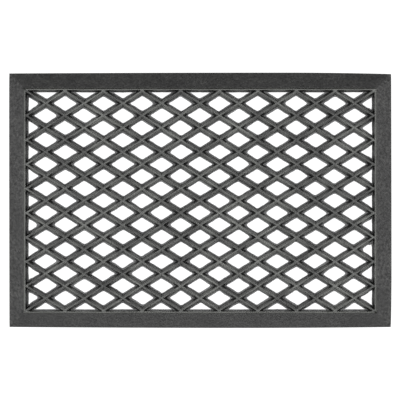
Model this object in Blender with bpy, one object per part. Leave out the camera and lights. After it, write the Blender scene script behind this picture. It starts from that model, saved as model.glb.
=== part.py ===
"""Open-lattice rubber door mat.

A flat rectangular mat to scrape shoes on. A border ramp on each side climbs from a thin outer edge to a
narrow raised rim. Inside the rim, two families of drafted bars cross in a diamond lattice that is open right
through, and the outermost crossings lie a little way in from the rim. Both families are as high as the rim,
so they are halved into each other wherever they cross: the rising bars keep their lower half there, and the
falling bars keep their upper half.

Metres, +Z up. The mat lies on z = 0, centred on the origin, with its longest side along X.
"""

import math

import bmesh
import bpy
from mathutils import Matrix, Vector

# Driving dimensions
MAT_LENGTH = 0.600
MAT_DEPTH = 0.400
MAT_THICKNESS = 0.012
BORDER_WIDTH = 0.0271
RIM_WIDTH = 0.003
RAMP_EDGE_HEIGHT = 0.002
RAMP_CREST_HEIGHT = 0.0112
DIAMONDS_ACROSS = 9
CROSSING_SETBACK = 0.0017
BAR_RIDGE_WIDTH = 0.003
BAR_FOOT_WIDTH = 0.0078
JOINT_GAP = 0.0003
CUTTER_OVERRUN = 0.002

# Worked out from them
OPENING_LENGTH = MAT_LENGTH - 2 * BORDER_WIDTH
OPENING_DEPTH = MAT_DEPTH - 2 * BORDER_WIDTH
PITCH_X = (OPENING_LENGTH - 2 * CROSSING_SETBACK) / DIAMONDS_ACROSS
PITCH_Y = (OPENING_DEPTH - 2 * CROSSING_SETBACK) / DIAMONDS_ACROSS
LAP_HEIGHT = MAT_THICKNESS / 2
BAR_ANGLE = math.atan2(PITCH_Y, PITCH_X)
FURTHEST_BAR = DIAMONDS_ACROSS - 1
MITRE_SETBACK = JOINT_GAP / math.sqrt(2)

RAMP_COLOUR = (0.067, 0.068, 0.069)
RIM_COLOUR = (0.128, 0.129, 0.130)
BAR_COLOUR = (0.110, 0.111, 0.112)
RUBBER_ROUGHNESS = 0.72

SIDES = (
    ("front", 0, MAT_LENGTH, MAT_DEPTH),
    ("right", 90, MAT_DEPTH, MAT_LENGTH),
    ("back", 180, MAT_LENGTH, MAT_DEPTH),
    ("left", 270, MAT_DEPTH, MAT_LENGTH),
)


def clear_scene():
    for thing in list(bpy.data.objects):
        bpy.data.objects.remove(thing, do_unlink=True)


def new_collection(name):
    collection = bpy.data.collections.new(name)
    bpy.context.scene.collection.children.link(collection)
    return collection


def rubber(name, colour):
    material = bpy.data.materials.new(name)
    material.use_nodes = True
    shader = material.node_tree.nodes["Principled BSDF"]
    shader.inputs["Base Color"].default_value = (*colour, 1.0)
    shader.inputs["Roughness"].default_value = RUBBER_ROUGHNESS
    shader.inputs["Metallic"].default_value = 0.0
    return material


def add_part(name, mesh, collection, parent, colour):
    part = bpy.data.objects.new(name, mesh)
    mesh.materials.append(rubber(name + "_rubber", colour))
    part.parent = parent
    collection.objects.link(part)
    return part


def shaped_block(place):
    """A unit cube as a new mesh, with each corner moved to place(sx, sy, sz) for its three signs."""
    block = bmesh.new()
    bmesh.ops.create_cube(block, size=2.0)
    for corner in block.verts:
        corner.co = place(*(round(value) for value in corner.co))
    mesh = bpy.data.meshes.new("block")
    block.to_mesh(mesh)
    block.free()
    return mesh


def mitred_strip(side_length, across, outer_inset, inner_inset, outer_height, inner_height):
    """A strip along local X on the -Y side of the mat, with both ends cut back at 45 degrees."""

    def place(sx, sy, sz):
        inset = outer_inset if sy < 0 else inner_inset
        height = outer_height if sy < 0 else inner_height
        half_length = side_length / 2 - inset - MITRE_SETBACK
        return Vector((sx * half_length, inset - across / 2, height if sz > 0 else 0.0))

    return shaped_block(place)


def bar_half_width(height):
    """Half the width of a bar at this height, on its drafted sides."""
    share = height / MAT_THICKNESS
    return (BAR_FOOT_WIDTH + (BAR_RIDGE_WIDTH - BAR_FOOT_WIDTH) * share) / 2


def drafted_bar(length, low, high, clearance=0.0):
    """A length of bar along local X between two heights, grown sideways by the clearance."""

    def place(sx, sy, sz):
        height = high if sz > 0 else low
        half_width = bar_half_width(height) + clearance
        return Vector((sx * length / 2, sy * half_width, height))

    return shaped_block(place)


def bar_place(family, step):
    """Where a bar lies. Family +1 rises to the right and -1 falls; step 0 runs from corner to corner."""
    middle = Vector((-family * step * PITCH_X / 2, step * PITCH_Y / 2, 0.0))
    return Matrix.Translation(middle) @ Matrix.Rotation(family * BAR_ANGLE, 4, "Z")


def bar_length(step):
    """From rim to rim along the bar's middle, with enough over to be trimmed square to the rim."""
    spans = DIAMONDS_ACROSS - abs(step)
    trim = BAR_FOOT_WIDTH / math.tan(BAR_ANGLE)
    return spans * math.hypot(PITCH_X, PITCH_Y) + 2 * trim


def steps():
    return range(-FURTHEST_BAR, FURTHEST_BAR + 1)


def new_cutter(name, mesh, collection):
    cutter = bpy.data.objects.new(name, mesh)
    cutter.hide_render = True
    cutter.display_type = "WIRE"
    collection.objects.link(cutter)
    return cutter


def lap_cutter(name, family, low, high, collection):
    """All of one family's bars between two heights, as one cutter for the other family's laps."""
    cutter_bars = bmesh.new()
    for step in steps():
        bar = drafted_bar(bar_length(step), low, high, clearance=JOINT_GAP)
        bar.transform(bar_place(family, step))
        cutter_bars.from_mesh(bar)
        bpy.data.meshes.remove(bar)
    mesh = bpy.data.meshes.new(name)
    cutter_bars.to_mesh(mesh)
    cutter_bars.free()
    return new_cutter(name, mesh, collection)


def opening_block(collection):
    """The space inside the rim, which trims the ends of the bars."""
    half_length = OPENING_LENGTH / 2 - JOINT_GAP
    half_depth = OPENING_DEPTH / 2 - JOINT_GAP

    def place(sx, sy, sz):
        height = MAT_THICKNESS + CUTTER_OVERRUN if sz > 0 else -CUTTER_OVERRUN
        return Vector((sx * half_length, sy * half_depth, height))

    return new_cutter("opening_block", shaped_block(place), collection)


def add_boolean(part, operation, cutter):
    boolean = part.modifiers.new(operation.lower(), "BOOLEAN")
    boolean.operation = operation
    boolean.solver = "EXACT"
    boolean.object = cutter


def build_border(collection, parent):
    rim_outer = BORDER_WIDTH - RIM_WIDTH
    ramp_inner = rim_outer - JOINT_GAP
    for side, turn, side_length, across in SIDES:
        ramp_mesh = mitred_strip(side_length, across, 0.0, ramp_inner, RAMP_EDGE_HEIGHT, RAMP_CREST_HEIGHT)
        rim_mesh = mitred_strip(side_length, across, rim_outer, BORDER_WIDTH, MAT_THICKNESS, MAT_THICKNESS)
        ramp = add_part("border_ramp_" + side, ramp_mesh, collection, parent, RAMP_COLOUR)
        rim = add_part("rim_strip_" + side, rim_mesh, collection, parent, RIM_COLOUR)
        for strip in (ramp, rim):
            strip.rotation_euler.z = math.radians(turn)


def build_lattice(collection, cutters, parent):
    trimmer = opening_block(cutters)
    over = MAT_THICKNESS + CUTTER_OVERRUN
    upper_laps = lap_cutter("upper_laps", -1, LAP_HEIGHT - JOINT_GAP / 2, over, cutters)
    lower_laps = lap_cutter("lower_laps", 1, -CUTTER_OVERRUN, LAP_HEIGHT + JOINT_GAP / 2, cutters)
    for family, family_name, laps in ((1, "rising", upper_laps), (-1, "falling", lower_laps)):
        for number, step in enumerate(steps(), start=1):
            mesh = drafted_bar(bar_length(step), 0.0, MAT_THICKNESS)
            bar = add_part(f"{family_name}_bar_{number:02d}", mesh, collection, parent, BAR_COLOUR)
            bar.matrix_local = bar_place(family, step)
            add_boolean(bar, "INTERSECT", trimmer)
            add_boolean(bar, "DIFFERENCE", laps)


def main():
    clear_scene()
    parts = new_collection("door_mat")
    cutters = new_collection("door_mat_cutters")
    mat = bpy.data.objects.new("door_mat_origin", None)
    parts.objects.link(mat)
    build_border(parts, mat)
    build_lattice(parts, cutters, mat)
    bpy.context.view_layer.update()


main()
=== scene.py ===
import math

import bmesh
import bpy
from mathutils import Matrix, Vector, noise


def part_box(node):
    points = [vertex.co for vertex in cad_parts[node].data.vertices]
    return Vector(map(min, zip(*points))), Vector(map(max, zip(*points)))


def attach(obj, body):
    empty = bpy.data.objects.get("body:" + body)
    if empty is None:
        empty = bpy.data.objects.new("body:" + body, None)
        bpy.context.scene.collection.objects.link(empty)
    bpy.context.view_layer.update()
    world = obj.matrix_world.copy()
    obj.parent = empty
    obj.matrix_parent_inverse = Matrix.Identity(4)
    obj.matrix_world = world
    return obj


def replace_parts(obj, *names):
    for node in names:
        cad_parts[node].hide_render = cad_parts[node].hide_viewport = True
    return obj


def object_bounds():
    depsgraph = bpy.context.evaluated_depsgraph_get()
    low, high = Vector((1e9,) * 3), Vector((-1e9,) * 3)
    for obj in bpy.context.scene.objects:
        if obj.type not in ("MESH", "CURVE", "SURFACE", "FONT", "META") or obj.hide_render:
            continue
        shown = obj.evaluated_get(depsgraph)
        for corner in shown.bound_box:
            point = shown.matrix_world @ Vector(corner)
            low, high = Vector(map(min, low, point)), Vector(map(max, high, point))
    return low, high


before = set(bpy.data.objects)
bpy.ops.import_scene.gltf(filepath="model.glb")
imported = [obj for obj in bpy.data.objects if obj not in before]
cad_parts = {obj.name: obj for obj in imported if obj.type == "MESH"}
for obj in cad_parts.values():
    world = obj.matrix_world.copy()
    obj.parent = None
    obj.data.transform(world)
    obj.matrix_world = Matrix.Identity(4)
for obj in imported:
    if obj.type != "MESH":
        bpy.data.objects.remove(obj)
cad_low, cad_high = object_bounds()

# Looks of an open-lattice rubber scraper mat: four sloping border ramps, a raised rim along their inner edges
# and a diamond lattice of drafted bars with thin moulding flash round every opening. Metres, +Z up, on the
# floor at z = 0.

MM = 0.001

# Places, from the frame
HALF_LENGTH = cad_high.x
HALF_DEPTH = cad_high.y
TOP = cad_high.z
LATTICE_HALF_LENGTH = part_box("rim_strip_right")[0].x
LATTICE_HALF_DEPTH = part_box("rim_strip_back")[0].y
BORDER = HALF_LENGTH - LATTICE_HALF_LENGTH
RIM_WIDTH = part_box("rim_strip_right")[1].x - LATTICE_HALF_LENGTH
RAMP_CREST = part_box("border_ramp_front")[1].z
RISING_BARS = sorted(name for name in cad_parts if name.startswith("rising_bar_"))
FALLING_BARS = sorted(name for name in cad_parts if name.startswith("falling_bar_"))
DIAMONDS_ACROSS = (len(RISING_BARS) + 1) // 2
# The outermost crossings lie this far inside the rim, and the bars run on to it in short necks
NECK = 1.7 * MM
NET_HALF_LENGTH = LATTICE_HALF_LENGTH - NECK
NET_HALF_DEPTH = LATTICE_HALF_DEPTH - NECK
PITCH_X = 2 * NET_HALF_LENGTH / DIAMONDS_ACROSS
PITCH_Y = 2 * NET_HALF_DEPTH / DIAMONDS_ACROSS
BAR_ANGLE = math.atan2(PITCH_Y, PITCH_X)

# How each opening narrows from the ridge down to the flash and back under to the bars' middle lines. Each row
# gives the inset from a bar's middle line, the inset from the rim's inner edge, the height, and the corner
# radius in the opening's sharp and blunt corners, all in millimetres, on a mat that is as thick as the first
# row's height.
OPENING_LEVELS = (
    (0.0, 0.0, 12.00, 0.0, 0.0),
    (0.9, 0.05, 11.97, 0.2, 0.2),
    (1.35, 0.2, 11.75, 0.2, 0.3),
    (1.6, 0.3, 11.2, 0.2, 0.4),
    (2.0, 0.6, 8.6, 0.2, 0.5),
    (3.3, 0.95, 5.0, 0.25, 0.8),
    (3.85, 1.2, 1.7, 0.3, 1.0),
    (4.1, 1.5, 1.15, 0.4, 1.2),
    (6.0, 3.15, 1.0, 1.2, 3.4),
    (6.25, 3.35, 0.8, 1.4, 3.8),
    (6.2, 3.3, 0.2, 1.4, 3.8),
    (5.9, 3.15, 0.0, 1.2, 3.4),
    (0.0, 0.0, 0.0, 0.0, 0.0),
)
# Which of those rows lie on the wall, where shade is painted, at its foot, on the torn edge of the flash, and
# on the flash's top, where light is painted
WALL_LEVELS = (4, 5, 6, 7, 8)
FOOT_LEVELS = (6, 7)
TORN_LEVELS = (8, 9, 10, 11)
PAINTED_LIGHT_LEVELS = (8, 9)
# The flash is wider or narrower than in OPENING_LEVELS by part of these: on a whole side, as a web in a sharp
# corner, and where its edge is torn in long and in short waves. Each changes over about the distance that
# follows it.
FLASH_SPREAD, FLASH_SPREAD_REACH = 1.7 * MM, 5.3 * MM
WEB_SPREAD, WEB_REACH = 4.5 * MM, 13 * MM
LONG_TEAR, LONG_TEAR_REACH = 0.5 * MM, 9 * MM
SHORT_TEAR, SHORT_TEAR_REACH = 0.35 * MM, 2.8 * MM
FLASH_LEAST = -0.9 * MM
# Two openings share each bar, and this much of an opening's own place keeps the flash on both sides of it
# different
FLASH_SHIFT = 0.1
# How deep in a sharp corner a point lies, from 0 to 1, when its web is at its widest
WEB_DEPTH = 0.3
# How far from a sharp corner, and from the rim, shade is painted on the walls
POCKET_REACH = 16 * MM
RIM_SHADE_REACH = 2.6 * MM
# How dark the painted shade at the foot of the rim is on each side
RIM_SHADE = {"front": 0.0, "right": 0.5, "back": 0.5, "left": 0.5}
# The crease between a bar's foot and the flash gets painted shade all round
FOOT_SHADE = 0.36
# How far the rim's wall, and the flash at its foot, spread on each side, against the insets in OPENING_LEVELS
RIM_SPREAD = {"front": (0.5, 0.9), "right": (1.5, 1.15), "back": (1.35, 1.0), "left": (1.5, 1.38)}
# How finely each corner and each side of an opening is divided, and the most that an outline turns in a blunt
# corner
ARC_STEPS = 3
SIDE_STEPS = 8
BLUNT_CORNER = math.radians(80)

# How many flats the ramp's slope is drawn with, the height of its outer edge, and how long a step is along a
# side
RAMP_FLATS = 6
RAMP_EDGE_TOP = 2.0 * MM
STRIP_STEP = 6 * MM
# The groove between ramp and rim is deepest at the back
GROOVE_DEPTH = {"front": 0.3 * MM, "right": 0.3 * MM, "back": 2.0 * MM, "left": 0.3 * MM}
# Where two ramps meet, the ridge of the mitre is rounded over this width
MITRE_ROUND = 13 * MM
# Small pits where two rims meet, at the start and end of each side
PRICK_LENGTH = 1.6 * MM
RIM_PRICKS = {
    "front": (0.3 * MM, 2.6 * MM),
    "right": (2.6 * MM, 0.4 * MM),
    "back": (0.4 * MM, 1.8 * MM),
    "left": (1.8 * MM, 0.3 * MM),
}

# How far the trimmed outer edge draws in at the start and end of each side, where along it is fullest, and
# how far it draws in there
EDGE_BOW = {
    "front": (1.6 * MM, 1.5 * MM, 0.62, 0.0),
    "right": (1.1 * MM, 0.6 * MM, 0.22, 0.5 * MM),
    "back": (2.2 * MM, 1.2 * MM, 0.27, 0.0),
    "left": (0.2 * MM, 0.5 * MM, 0.10, 0.5 * MM),
}
# How far off centre the lattice sits inside the trimmed border
OFF_CENTRE = Vector((-0.5 * MM, -0.7 * MM))
# How far the mat's lines wander, and over what distance
SWAY = 0.35 * MM
SWAY_REACH = 70 * MM
# Where the wandering to and from the front reads its noise, so that it differs from the wandering sideways.
# Plain noise is used throughout, because noise_vector takes its seed from the clock.
SWAY_SHIFT = Vector((31.7, 17.3, 5.1))
SIDES = (
    ("front", 0.0, HALF_LENGTH, HALF_DEPTH),
    ("right", 90.0, HALF_DEPTH, HALF_LENGTH),
    ("back", 180.0, HALF_LENGTH, HALF_DEPTH),
    ("left", 270.0, HALF_DEPTH, HALF_LENGTH),
)


def linear(hex_colour):
    """An sRGB hex colour as linear RGBA."""
    values = [int(hex_colour[i : i + 2], 16) / 255 for i in (1, 3, 5)]
    return (*(v / 12.92 if v <= 0.04045 else ((v + 0.055) / 1.055) ** 2.4 for v in values), 1.0)


def add_node(tree, kind, settings=None, inputs=None):
    """Adds a shader node. Each input is a value, or the output socket that feeds it."""
    made = tree.nodes.new(kind)
    for key, value in (settings or {}).items():
        setattr(made, key, value)
    for key, value in (inputs or {}).items():
        if isinstance(value, bpy.types.NodeSocket):
            tree.links.new(value, made.inputs[key])
        else:
            made.inputs[key].default_value = value
    return made


def per_metre(size_mm):
    """The texture scale that repeats a pattern about every size_mm millimetres."""
    return 1.0 / (size_mm * MM)


# Materials

# Painted light on the thin flash's top, as if the lit floor below shone up through it: the colour of that
# painted light, and how far the flash goes towards it
FLASH_PAINTED_LIGHT_COLOUR = "#6c6c6e"
FLASH_PAINTED_LIGHT_SHARE = 0.6


def lengthwise_streaks(tree, place):
    """Faint lines along each bar, like the marks that a cutter leaves in a mould."""
    lines = []
    for lean in (-BAR_ANGLE, BAR_ANGLE):
        along_bar = add_node(
            tree,
            "ShaderNodeMapping",
            {"vector_type": "TEXTURE"},
            {"Vector": place, "Rotation": (0.0, 0.0, lean), "Scale": (45 * MM, 1.7 * MM, 1.0)},
        )
        lines.append(
            add_node(
                tree, "ShaderNodeTexNoise", {}, {"Vector": along_bar.outputs[0], "Scale": 1.0, "Detail": 1.0}
            )
        )
    rising = add_node(tree, "ShaderNodeAttribute", {"attribute_name": "rising"})
    return add_node(
        tree,
        "ShaderNodeMix",
        {"data_type": "FLOAT"},
        {"Factor": rising.outputs["Fac"], 2: lines[0].outputs["Fac"], 3: lines[1].outputs["Fac"]},
    ).outputs[0]


def compression_moulded_rubber(
    name, dark, light, lit_and_worn_top_colour, roughness, grain_mm, pit_depth_mm, specks, patchiness, streaks=0.0
):
    """Black-grey rubber pressed in a sand-blasted steel mould. It gives the eye a dull, slightly uneven
    charcoal skin with fine pits and pale specks, and paler, smoother tops, partly wear where shoes rub the
    ridges and partly a painted highlight. The grain is drawn a little coarser than the real one, so that it
    shows from above."""
    material = bpy.data.materials.new(name)
    material.use_nodes = True
    tree = material.node_tree
    shader = tree.nodes["Principled BSDF"]
    place = add_node(tree, "ShaderNodeTexCoord").outputs["Object"]
    patches = add_node(
        tree, "ShaderNodeTexNoise", {}, {"Vector": place, "Scale": per_metre(38), "Detail": 2.0}
    )
    mottle = add_node(tree, "ShaderNodeTexNoise", {}, {"Vector": place, "Scale": per_metre(7), "Detail": 3.0})
    grain = add_node(
        tree, "ShaderNodeTexNoise", {}, {"Vector": place, "Scale": per_metre(grain_mm), "Detail": 2.0}
    )
    pits = add_node(tree, "ShaderNodeTexVoronoi", {}, {"Vector": place, "Scale": per_metre(grain_mm * 1.3)})
    tone = add_node(tree, "ShaderNodeMath", {"operation": "MULTIPLY"}, {0: mottle.outputs["Fac"], 1: 0.6})
    tone = add_node(
        tree,
        "ShaderNodeMath",
        {"operation": "MULTIPLY_ADD"},
        {0: patches.outputs["Fac"], 1: 0.4, 2: tone.outputs[0]},
    )
    tone = add_node(
        tree, "ShaderNodeMapRange", {}, {"Value": tone.outputs[0], "From Min": 0.32, "From Max": 0.68}
    )
    skin = add_node(
        tree,
        "ShaderNodeMix",
        {"data_type": "RGBA"},
        {"Factor": tone.outputs[0], 6: linear(dark), 7: linear(light)},
    )
    speck = add_node(
        tree,
        "ShaderNodeMapRange",
        {},
        {
            "Value": grain.outputs["Fac"],
            "From Min": 0.34,
            "From Max": 0.70,
            "To Min": 1 - specks,
            "To Max": 1 + specks * 1.6,
        },
    )
    # Painted shade: the walls darken to 7% of their colour in sharp corners, under the rim and in the crease
    # at the bars' foot
    painted_pocket_shade = add_node(tree, "ShaderNodeAttribute", {"attribute_name": "painted_pocket_shade"})
    shade = add_node(
        tree,
        "ShaderNodeMapRange",
        {"interpolation_type": "SMOOTHSTEP"},
        {"Value": painted_pocket_shade.outputs["Fac"], "From Min": 0.1, "From Max": 0.5, "To Min": 1.0, "To Max": 0.07},
    )
    shaded_speck = add_node(
        tree, "ShaderNodeMath", {"operation": "MULTIPLY"}, {0: speck.outputs[0], 1: shade.outputs[0]}
    )
    specked = add_node(
        tree,
        "ShaderNodeVectorMath",
        {"operation": "SCALE"},
        {0: skin.outputs[2], "Scale": shaded_speck.outputs[0]},
    )
    height = add_node(tree, "ShaderNodeSeparateXYZ", {}, {0: place}).outputs["Z"]
    # Paler near the top: wear on the rubbed ridges, and a painted highlight on the flat tops
    top_wear_and_highlight = add_node(
        tree,
        "ShaderNodeMapRange",
        {},
        {
            "Value": height,
            "From Min": TOP - 1.2 * MM,
            "From Max": TOP - 0.2 * MM,
            "To Min": 0.0,
            "To Max": 0.75,
        },
    )
    colour = add_node(
        tree,
        "ShaderNodeMix",
        {"data_type": "RGBA"},
        {"Factor": top_wear_and_highlight.outputs[0], 6: specked.outputs[0], 7: linear(lit_and_worn_top_colour)},
    )
    gloss = add_node(
        tree,
        "ShaderNodeMapRange",
        {},
        {
            "Value": mottle.outputs["Fac"],
            "From Min": 0.3,
            "From Max": 0.7,
            "To Min": roughness - 0.06,
            "To Max": roughness + 0.08,
        },
    )
    relief = add_node(
        tree,
        "ShaderNodeMath",
        {"operation": "MULTIPLY_ADD"},
        {0: pits.outputs["Distance"], 1: 0.5, 2: grain.outputs["Fac"]},
    )
    bump = add_node(
        tree,
        "ShaderNodeBump",
        {},
        {"Height": relief.outputs[0], "Strength": 1.0, "Distance": pit_depth_mm * MM},
    )
    fading = add_node(
        tree,
        "ShaderNodeMapRange",
        {},
        {
            "Value": patches.outputs["Fac"],
            "From Min": 0.34,
            "From Max": 0.66,
            "To Min": 1 - patchiness,
            "To Max": 1 + patchiness,
        },
    )
    faded = add_node(
        tree,
        "ShaderNodeVectorMath",
        {"operation": "SCALE"},
        {0: colour.outputs[2], "Scale": fading.outputs[0]},
    )
    if streaks:
        lines = add_node(
            tree,
            "ShaderNodeMapRange",
            {},
            {
                "Value": lengthwise_streaks(tree, place),
                "From Min": 0.32,
                "From Max": 0.68,
                "To Min": 1 - streaks,
                "To Max": 1 + streaks,
            },
        )
        streaked = add_node(
            tree,
            "ShaderNodeVectorMath",
            {"operation": "SCALE"},
            {0: faded.outputs[0], "Scale": lines.outputs[0]},
        )
        # Painted light: the flash's top is drawn paler where the pale attribute is set
        pale = add_node(tree, "ShaderNodeAttribute", {"attribute_name": "pale"})
        flash_painted_light = add_node(
            tree, "ShaderNodeMath", {"operation": "MULTIPLY"}, {0: pale.outputs["Fac"], 1: FLASH_PAINTED_LIGHT_SHARE}
        )
        faded = add_node(
            tree,
            "ShaderNodeMix",
            {"data_type": "RGBA"},
            {"Factor": flash_painted_light.outputs[0], 6: streaked.outputs[0], 7: linear(FLASH_PAINTED_LIGHT_COLOUR)},
        )
    tree.links.new(faded.outputs[2 if streaks else 0], shader.inputs["Base Color"])
    tree.links.new(gloss.outputs[0], shader.inputs["Roughness"])
    tree.links.new(bump.outputs[0], shader.inputs["Normal"])
    shader.inputs["IOR"].default_value = 1.5
    return material


def lit_white_acrylic():
    """A lit opal sheet under the mat, which keeps the floor pale and free of hard shadows."""
    material = bpy.data.materials.new("lit_white_acrylic")
    material.use_nodes = True
    shader = material.node_tree.nodes["Principled BSDF"]
    shader.inputs["Base Color"].default_value = linear("#5a5a5a")
    shader.inputs["Roughness"].default_value = 0.9
    shader.inputs["Emission Color"].default_value = linear("#ffffff")
    shader.inputs["Emission Strength"].default_value = 0.97
    return material


# Shape of the moulding


def edge_bow(side, share):
    """How far the outer edge draws in at this share of the side's length."""
    at_start, at_end, fullest, least = EDGE_BOW[side]
    if share < fullest:
        return least + at_start * ((fullest - share) / fullest) ** 2
    return least + at_end * ((share - fullest) / (1 - fullest)) ** 2


def border_weight(inset):
    """1 at the outer edge and 0 from the rim inwards."""
    return max(0.0, 1 - inset / (BORDER - RIM_WIDTH))


def settled(point):
    """A point of the true moulding where it lies on a real, slightly uneven one."""
    x, y, z = point
    across_share = (x + HALF_LENGTH) / (2 * HALF_LENGTH)
    up_share = (y + HALF_DEPTH) / (2 * HALF_DEPTH)
    x += border_weight(x + HALF_LENGTH) * edge_bow("left", 1 - up_share)
    x -= border_weight(HALF_LENGTH - x) * edge_bow("right", up_share)
    y += border_weight(y + HALF_DEPTH) * edge_bow("front", across_share)
    y -= border_weight(HALF_DEPTH - y) * edge_bow("back", 1 - across_share)
    inside = max(0.0, min(1.0, (HALF_LENGTH - abs(x)) / BORDER, (HALF_DEPTH - abs(y)) / BORDER))
    at = Vector((x, y, 0.0)) / SWAY_REACH
    sway = Vector((noise.noise(at), noise.noise(at + SWAY_SHIFT))) * (SWAY * inside)
    return Vector((x + sway.x + OFF_CENTRE.x * inside, y + sway.y + OFF_CENTRE.y * inside, z))


def piece(name, mesh, material):
    """A finished piece of the moulding, riding on the mat's one body."""
    made = bpy.data.objects.new(name, mesh)
    bpy.context.scene.collection.objects.link(made)
    mesh.materials.append(material)
    mesh.shade_smooth()
    mesh.set_sharp_from_angle(angle=math.radians(32))
    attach(made, "root")
    return made


def inset_lines(corners, insets):
    """Each side of an anticlockwise outline, moved inwards: a point on it, its direction and its inward
    normal."""
    lines = []
    for index, start in enumerate(corners):
        along = (corners[(index + 1) % len(corners)] - start).normalized()
        inward = Vector((-along.y, along.x))
        lines.append((start + inward * insets[index], along, inward))
    return lines


def meeting_point(first, second):
    gap = second[0] - first[0]
    reach = gap.cross(second[1]) / first[1].cross(second[1])
    return first[0] + first[1] * reach


def opening_ring(corners, kinds, insets, sharp_radius, blunt_radius):
    """One level of an opening's wall: the inset outline with its corners rounded, as points in order."""
    lines = inset_lines(corners, insets)
    arcs = []
    for index, line in enumerate(lines):
        before = lines[index - 1]
        turn = before[1].angle(line[1])
        radius = blunt_radius if turn < BLUNT_CORNER else sharp_radius
        if "neck" in (kinds[index], kinds[index - 1]):
            radius = 0.0
        corner = meeting_point(before, line)
        centre = corner + (before[2] + line[2]) * (radius / (1 + before[2].dot(line[2])))
        start = math.atan2(-before[2].y, -before[2].x)
        angles = [start + turn * step / ARC_STEPS for step in range(ARC_STEPS + 1)]
        arcs.append([centre + Vector((math.cos(a), math.sin(a))) * radius for a in angles])
    ring = []
    for index, arc in enumerate(arcs):
        following = arcs[(index + 1) % len(arcs)][0]
        ring.extend(arc)
        ring.extend(arc[-1].lerp(following, step / SIDE_STEPS) for step in range(1, SIDE_STEPS))
    return ring


def flash_width(middle):
    """How much wider than usual the flash is along the side of an opening that has this middle."""
    at = Vector((middle.x, middle.y, 0.0))
    return max(FLASH_LEAST, noise.noise(at / FLASH_SPREAD_REACH) * FLASH_SPREAD)


def flash_trim(point, centre, depth):
    """Moves a point of the flash's thin edge in or out, because it tears off unevenly, most of all in the
    sharp corners."""
    at = Vector((point.x, point.y, 0.0))
    tear = noise.noise(at / LONG_TEAR_REACH) * LONG_TEAR + noise.noise(at / SHORT_TEAR_REACH) * SHORT_TEAR
    web = noise.noise(at / WEB_REACH) * WEB_SPREAD * min(1.0, depth / WEB_DEPTH)
    return point + (centre - point).normalized() * max(FLASH_LEAST, tear + web)


# Which side of a half opening is the bar beside each neck
BAR_BESIDE_NECK = {2: 1, 4: 0}


def half_opening(tip, first_crossing, second_crossing, outwards):
    """An opening cut off by the rim: its corners, and what each of its sides is."""
    corners = [first_crossing, tip, second_crossing, second_crossing + outwards, first_crossing + outwards]
    return corners, ("bar", "bar", "neck", "rim", "neck")


def openings():
    """Every opening of the lattice as its corners in anticlockwise order, and what each of its sides is."""
    half_x = Vector((PITCH_X / 2, 0.0))
    half_y = Vector((0.0, PITCH_Y / 2))
    last = 2 * DIAMONDS_ACROSS
    found = []
    for column in range(last + 1):
        for row in range(last + 1):
            if (column + row) % 2 == 0:
                continue
            centre = Vector((column * PITCH_X / 2 - NET_HALF_LENGTH, row * PITCH_Y / 2 - NET_HALF_DEPTH))
            right, back, left, front = centre + half_x, centre + half_y, centre - half_x, centre - half_y
            if column == 0:
                found.append(half_opening(right, front, back, Vector((-NECK, 0.0))))
            elif column == last:
                found.append(half_opening(left, back, front, Vector((NECK, 0.0))))
            elif row == 0:
                found.append(half_opening(back, right, left, Vector((0.0, -NECK))))
            elif row == last:
                found.append(half_opening(front, left, right, Vector((0.0, NECK))))
            else:
                found.append(([front, right, back, left], ("bar",) * 4))
    return found


def rim_side(corners, kinds):
    """Which side of the mat cuts this opening off."""
    start = kinds.index("rim")
    middle = (corners[start] + corners[start + 1]) / 2
    if abs(middle.x) > NET_HALF_LENGTH:
        return "right" if middle.x > 0 else "left"
    return "back" if middle.y > 0 else "front"


def side_insets(corners, kinds, level, centre):
    """How far each side of an opening moves inwards. A neck narrows until the bar beside it meets the rim."""
    bar_inset, rim_inset = (inset * MM for inset in OPENING_LEVELS[level][:2])
    torn = level in TORN_LEVELS
    insets = []
    for side, corner in enumerate(corners):
        middle = (corner + corners[(side + 1) % len(corners)]) / 2
        insets.append(bar_inset + (flash_width(middle + centre * FLASH_SHIFT) if torn else 0.0))
    if "rim" not in kinds:
        return insets
    side = rim_side(corners, kinds)
    wall_spread, flash_spread = RIM_SPREAD[side]
    rim_inset *= flash_spread if torn else wall_spread
    insets[kinds.index("rim")] = rim_inset
    lean = BAR_ANGLE if side in ("left", "right") else math.pi / 2 - BAR_ANGLE
    for neck, bar in BAR_BESIDE_NECK.items():
        insets[neck] = insets[bar] / math.cos(lean) + max(0.0, rim_inset - NECK) * math.tan(lean)
    return insets


def pocket_depth(point, corners, kinds):
    """How deep a point of the wall sits in an opening's sharp corner or under the rim, from 0 to 1. It sets
    how dark the painted shade is there.
    """
    depth = 0.0
    for index, corner in enumerate(corners):
        following = corners[(index + 1) % len(corners)]
        turn = (corner - corners[index - 1]).angle(following - corner)
        if turn > BLUNT_CORNER:
            depth = max(depth, 1 - (point - corner).length / POCKET_REACH)
        if kinds[index] == "rim":
            along = (following - corner).normalized()
            if along.cross(point - corner) < RIM_SHADE_REACH:
                depth = max(depth, RIM_SHADE[rim_side(corners, kinds)])
    return depth


def corner_block(points, faces, crossing, along, across):
    """Fills the corner between the rim and the last crossing, where the necks on both sides end."""
    first_neck = [crossing + along * (step / SIDE_STEPS) for step in range(SIDE_STEPS + 1)]
    second_neck = [crossing + across * (step / SIDE_STEPS) for step in range(SIDE_STEPS, 0, -1)]
    outline = first_neck + [crossing + along + across] + second_neck
    start = len(points)
    size = len(outline)
    for height in (TOP, 0.0):
        points.extend(settled((point.x, point.y, height)) for point in outline)
    faces.append(tuple(range(start, start + size)))
    faces.append(tuple(range(start + size, start + 2 * size)))
    for step in (SIDE_STEPS, SIDE_STEPS + 1):
        faces.append((start + step, start + step + 1, start + size + step + 1, start + size + step))


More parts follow.
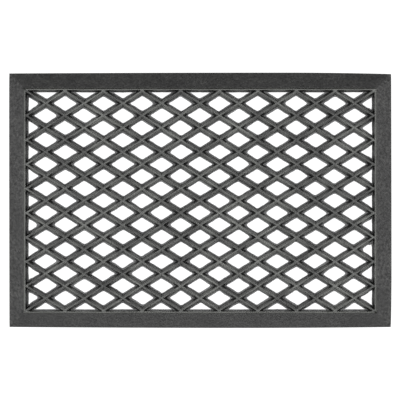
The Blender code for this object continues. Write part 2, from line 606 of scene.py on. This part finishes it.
def lattice_mesh():
    """All the bars as one moulding: the wall of each opening, joined to its neighbours along the bars'
    middles."""
    points, faces, painted_shade_depths, pale, rising = [], [], [], [], []
    drawn_thickness = OPENING_LEVELS[0][2]
    for corners, kinds in openings():
        centre = sum(corners, Vector((0.0, 0.0))) / len(corners)
        first = len(points)
        # Necks, and rims with painted shade at their foot, get no painted light on their flash
        shaded = [side for side, kind in enumerate(kinds) if kind == "neck"]
        if "rim" in kinds and RIM_SHADE[rim_side(corners, kinds)]:
            shaded.append(kinds.index("rim"))
        for level, (_, _, height, sharp, blunt) in enumerate(OPENING_LEVELS):
            insets = side_insets(corners, kinds, level, centre)
            ring = opening_ring(corners, kinds, insets, sharp * MM, blunt * MM)
            for step, point in enumerate(ring):
                side = step // (ARC_STEPS + SIDE_STEPS)
                run = corners[(side + 1) % len(corners)] - corners[side]
                rising.append(1.0 if run.x * run.y > 0 else 0.0)
                depth = pocket_depth(point, corners, kinds)
                if level in FOOT_LEVELS:
                    depth = max(depth, FOOT_SHADE)
                painted_shade_depths.append(depth if level in WALL_LEVELS else 0.0)
                pale.append(1.0 if level in PAINTED_LIGHT_LEVELS and side not in shaded else 0.0)
                if level in TORN_LEVELS:
                    point = flash_trim(point, centre, depth)
                points.append(settled((point.x, point.y, height / drawn_thickness * TOP)))
        size = len(corners) * (ARC_STEPS + SIDE_STEPS)
        for level in range(len(OPENING_LEVELS) - 1):
            for step in range(size):
                a = first + level * size + step
                b = first + level * size + (step + 1) % size
                faces.append((a, b, b + size, a + size))
        if "rim" in kinds:
            bottom = first + (len(OPENING_LEVELS) - 1) * size
            start = kinds.index("rim") * (ARC_STEPS + SIDE_STEPS) + ARC_STEPS
            for step in range(start, start + SIDE_STEPS):
                a, b = step % size, (step + 1) % size
                faces.append((first + a, bottom + a, bottom + b, first + b))
    for x in (-1, 1):
        for y in (-1, 1):
            crossing = Vector((x * NET_HALF_LENGTH, y * NET_HALF_DEPTH))
            corner_block(points, faces, crossing, Vector((x * NECK, 0.0)), Vector((0.0, y * NECK)))
    painted_shade_depths.extend([0.0] * (len(points) - len(painted_shade_depths)))
    pale.extend([0.0] * (len(points) - len(pale)))
    rising.extend([0.0] * (len(points) - len(rising)))
    mesh = bpy.data.meshes.new("lattice")
    mesh.from_pydata(points, [], faces)
    mesh.attributes.new("painted_pocket_shade", "FLOAT", "POINT").data.foreach_set("value", painted_shade_depths)
    mesh.attributes.new("pale", "FLOAT", "POINT").data.foreach_set("value", pale)
    mesh.attributes.new("rising", "FLOAT", "POINT").data.foreach_set("value", rising)
    moulding = bmesh.new()
    moulding.from_mesh(mesh)
    bmesh.ops.remove_doubles(moulding, verts=moulding.verts, dist=0.005 * MM)
    bmesh.ops.recalc_face_normals(moulding, faces=moulding.faces)
    moulding.to_mesh(mesh)
    moulding.free()
    return mesh


def mitre_drop(inset, from_end):
    """How much lower the rounded mitre leaves a point of the ramp than its straight slope."""
    near = max(0.0, MITRE_ROUND - abs(from_end - inset))
    slope = (RAMP_CREST - RAMP_EDGE_TOP) / (BORDER - RIM_WIDTH)
    return near * near / (4 * MITRE_ROUND) * slope


def strip_mesh(name, turn_degrees, half_side, half_across, section, rounded=False, pricks=(0.0, 0.0)):
    """A border strip of this section, swept along one side of the mat and mitred at both ends. Pricks are
    how much lower its top is at its two ends, over the last PRICK_LENGTH."""
    turn = math.radians(turn_degrees)
    across_steps = math.ceil(2 * half_side / STRIP_STEP)
    points, faces = [], []
    for step in range(across_steps + 1):
        share = 2 * step / across_steps - 1
        if step in (1, across_steps - 1):
            share = math.copysign(1 - PRICK_LENGTH / half_side, share)
        for inset, height in section:
            along = share * (half_side - inset)
            if abs(share) == 1 and height > RAMP_CREST:
                height -= pricks[0 if share < 0 else 1]
            out = inset - half_across
            x = along * math.cos(turn) - out * math.sin(turn)
            y = along * math.sin(turn) + out * math.cos(turn)
            drop = mitre_drop(inset, half_side - abs(along)) if rounded and height > 0 else 0.0
            points.append(settled((x, y, height - drop)))
    size = len(section)
    for step in range(across_steps):
        for index in range(size):
            a = step * size + index
            b = step * size + (index + 1) % size
            faces.append((a, b, b + size, a + size))
    faces.append(tuple(range(size)))
    faces.append(tuple(across_steps * size + index for index in reversed(range(size))))
    mesh = bpy.data.meshes.new(name)
    mesh.from_pydata(points, [], faces)
    strip = bmesh.new()
    strip.from_mesh(mesh)
    bmesh.ops.recalc_face_normals(strip, faces=strip.faces)
    strip.to_mesh(mesh)
    strip.free()
    return mesh


def ramp_section(groove_depth):
    """From the thin outer edge up the slope to the groove beside the rim, and back along the underside."""
    inner = BORDER - RIM_WIDTH
    crest = RAMP_CREST
    edge = RAMP_EDGE_TOP
    section = [(0.0, 0.0), (0.0, edge - 0.7 * MM), (0.25 * MM, edge - 0.2 * MM), (0.8 * MM, edge)]
    slope_start, slope_end = 0.8 * MM, inner - 0.8 * MM
    for step in range(1, RAMP_FLATS + 1):
        share = step / RAMP_FLATS
        section.append((slope_start + (slope_end - slope_start) * share, edge + (crest - edge) * share))
    section += [(inner - 0.3 * MM, crest - 0.15 * MM), (inner, crest - groove_depth), (inner, 0.0)]
    return section


def rim_section(groove_depth):
    """A narrow strip with a rounded outer shoulder, level with the lattice at its inner edge."""
    outer = BORDER - RIM_WIDTH
    return [
        (outer, 0.0),
        (outer, RAMP_CREST - groove_depth),
        (outer + 1.1 * MM, TOP - 0.35 * MM),
        (outer + 1.4 * MM, TOP - 0.12 * MM),
        (outer + 1.8 * MM, TOP - 0.02 * MM),
        (outer + 2.2 * MM, TOP),
        (BORDER, TOP),
        (BORDER, 0.0),
    ]


def build_mat():
    ramp_rubber = compression_moulded_rubber(
        "pitted_border_rubber",
        dark="#101010",
        light="#1e1e1d",
        lit_and_worn_top_colour="#2a2a29",
        roughness=0.62,
        grain_mm=3.2,
        pit_depth_mm=0.5,
        specks=0.6,
        patchiness=0.1,
    )
    coarse_ramp_rubber = compression_moulded_rubber(
        "coarse_pitted_border_rubber",
        dark="#101010",
        light="#20201f",
        lit_and_worn_top_colour="#2a2a29",
        roughness=0.62,
        grain_mm=4.2,
        pit_depth_mm=1.1,
        specks=1.1,
        patchiness=0.15,
    )
    rim_rubber = compression_moulded_rubber(
        "rim_rubber_with_lit_and_worn_top",
        dark="#20201f",
        light="#2e2e2c",
        lit_and_worn_top_colour="#40413e",
        roughness=0.55,
        grain_mm=2.0,
        pit_depth_mm=0.06,
        specks=0.15,
        patchiness=0.15,
    )
    lattice_rubber = compression_moulded_rubber(
        "lattice_rubber",
        dark="#282927",
        light="#393a37",
        lit_and_worn_top_colour="#393a38",
        roughness=0.55,
        grain_mm=2.0,
        pit_depth_mm=0.04,
        specks=0.1,
        patchiness=0.6,
        streaks=0.5,
    )
    lattice = piece("lattice", lattice_mesh(), lattice_rubber)
    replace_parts(lattice, *RISING_BARS, *FALLING_BARS)
    for side, turn, half_side, half_across in SIDES:
        groove = GROOVE_DEPTH[side]
        place = (turn, half_side, half_across)
        ramp = strip_mesh("ramp_" + side, *place, ramp_section(groove), rounded=True)
        rim = strip_mesh("rim_" + side, *place, rim_section(groove), pricks=RIM_PRICKS[side])
        skin = coarse_ramp_rubber if side in ("left", "right") else ramp_rubber
        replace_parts(piece("ramp_" + side, ramp, skin), "border_ramp_" + side)
        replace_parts(piece("rim_" + side, rim, rim_rubber), "rim_strip_" + side)


# Studio

FLOOR_SIZE = 60.0
FLOOR_DROP = 0.2 * MM
CAMERA_HEIGHT = 2.8
CAMERA_SIDESTEP = (-0.55 * MM, 0.47 * MM)
VIEW_WIDTH = 0.6268
SENSOR_WIDTH = 36.0


def softbox(name, place, size, watts):
    """A square area light that faces the middle of the mat."""
    light = bpy.data.lights.new(name, "AREA")
    light.shape = "SQUARE"
    light.size = size
    light.energy = watts
    lamp = bpy.data.objects.new(name, light)
    lamp.location = place
    lamp.rotation_euler = Vector(place).to_track_quat("Z", "Y").to_euler()
    lamp.visible_camera = False
    bpy.context.scene.collection.objects.link(lamp)


def build_studio():
    bpy.ops.mesh.primitive_plane_add(size=FLOOR_SIZE, location=(0, 0, -FLOOR_DROP))
    floor = bpy.context.object
    floor.name = "floor"
    floor.data.materials.append(lit_white_acrylic())
    world = bpy.data.worlds.new("studio")
    world.use_nodes = True
    world.node_tree.nodes["Background"].inputs["Color"].default_value = (1.0, 1.0, 1.0, 1.0)
    world.node_tree.nodes["Background"].inputs["Strength"].default_value = 0.1
    bpy.context.scene.world = world
    softbox("overhead_softbox", place=(0.0, 0.0, 3.2), size=1.6, watts=60)
    softbox("left_softbox", place=(-2.0, 0.1, 2.0), size=1.2, watts=54)
    softbox("right_softbox", place=(2.0, 0.1, 2.0), size=1.2, watts=53)
    softbox("front_softbox", place=(0.0, -2.0, 1.9), size=1.2, watts=31)
    camera = bpy.data.cameras.new("camera")
    camera.sensor_width = SENSOR_WIDTH
    camera.lens = SENSOR_WIDTH * CAMERA_HEIGHT / VIEW_WIDTH
    eye = bpy.data.objects.new("camera", camera)
    eye.location = (*CAMERA_SIDESTEP, CAMERA_HEIGHT)
    bpy.context.scene.collection.objects.link(eye)
    bpy.context.scene.camera = eye
    bpy.context.scene.view_settings.view_transform = "Standard"


build_mat()
build_studio()
